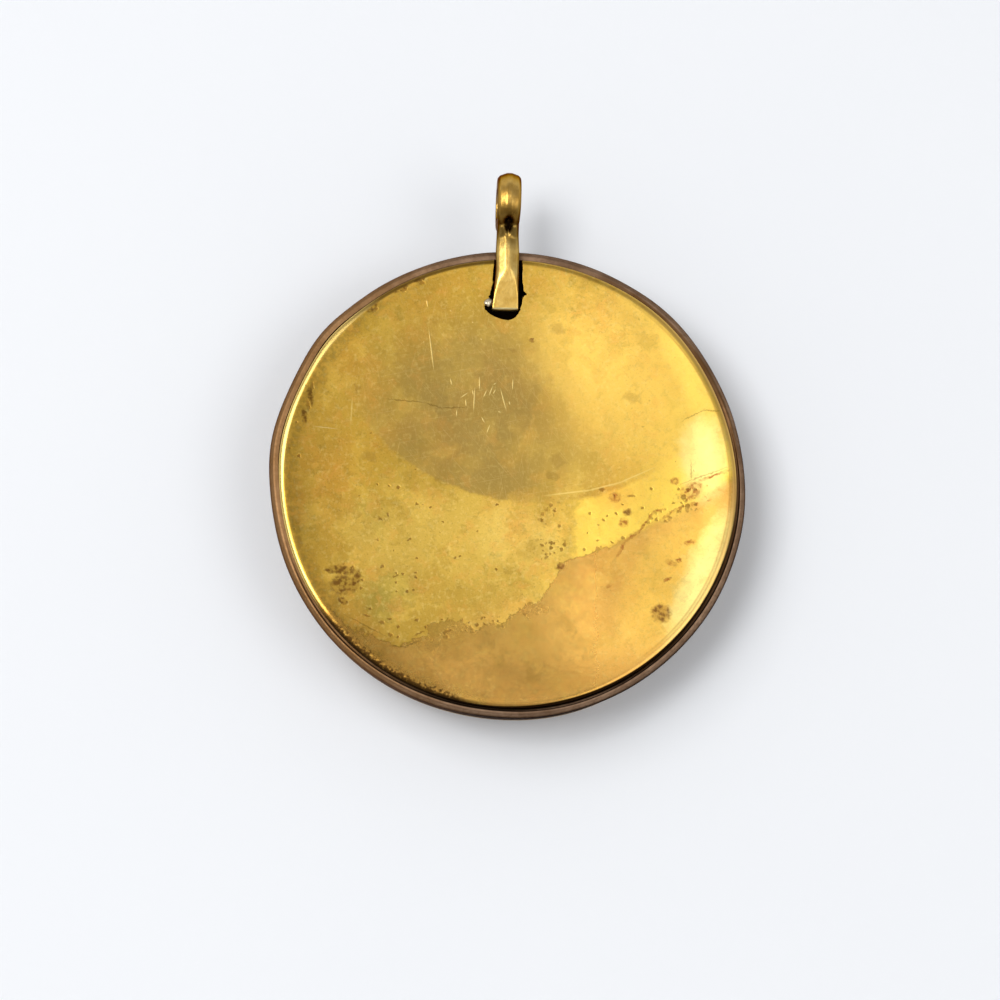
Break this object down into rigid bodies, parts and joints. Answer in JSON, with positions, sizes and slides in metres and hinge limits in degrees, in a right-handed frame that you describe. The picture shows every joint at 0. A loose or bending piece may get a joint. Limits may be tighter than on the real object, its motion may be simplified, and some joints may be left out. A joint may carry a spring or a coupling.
{
  "type": "amulet box",
  "caption": "Round brass amulet box worn as a pendant, with a pull-off back cover notched round a forged bail, a lotus front with a set stone, and a folded paper strip inside.",
  "frame": {"origin": "on the axis of the box, in the flat face of the centre stone on which it lies", "axes": "+Z from the face to the back cover, +Y towards the bail, +X along the bail's eye"},
  "size_m": [0.05, 0.0581, 0.0144],
  "materials": {
    "yellow_brass_sheet": "hand-rubbed, scratched and stained",
    "browned_brass": "brown tarnish, rubbed on the high places",
    "forged_brass": "hammered and worn bright",
    "soft_solder": "dull grey with bright chips",
    "turquoise": "polished, with a dark matrix",
    "folded_paper": "hand-made, aged"
  },
  "bodies": {
    "case": {"front_dome": "yellow_brass_sheet", "case_wall": "browned_brass", "rim_wire": "browned_brass", "rope_wire": "browned_brass", "beaded_wire": "browned_brass", "stone_bezel": "yellow_brass_sheet", "stone": "turquoise", "bail": "forged_brass", "bail_solder": "soft_solder", "prayer_strip": "folded_paper", "lotus_petal_1": "yellow_brass_sheet", "lotus_petal_2": "yellow_brass_sheet", "lotus_petal_3": "yellow_brass_sheet", "lotus_petal_4": "yellow_brass_sheet", "lotus_petal_5": "yellow_brass_sheet", "lotus_petal_6": "yellow_brass_sheet", "lotus_petal_7": "yellow_brass_sheet", "lotus_petal_8": "yellow_brass_sheet"},
    "cover": {"back_cover": "yellow_brass_sheet"}
  },
  "joints": [
    {"name": "cover_pull", "type": "slide", "parent": "case", "child": "cover", "axis": [0, 0, 1], "range_m": [0, 0.02]}
  ]
}
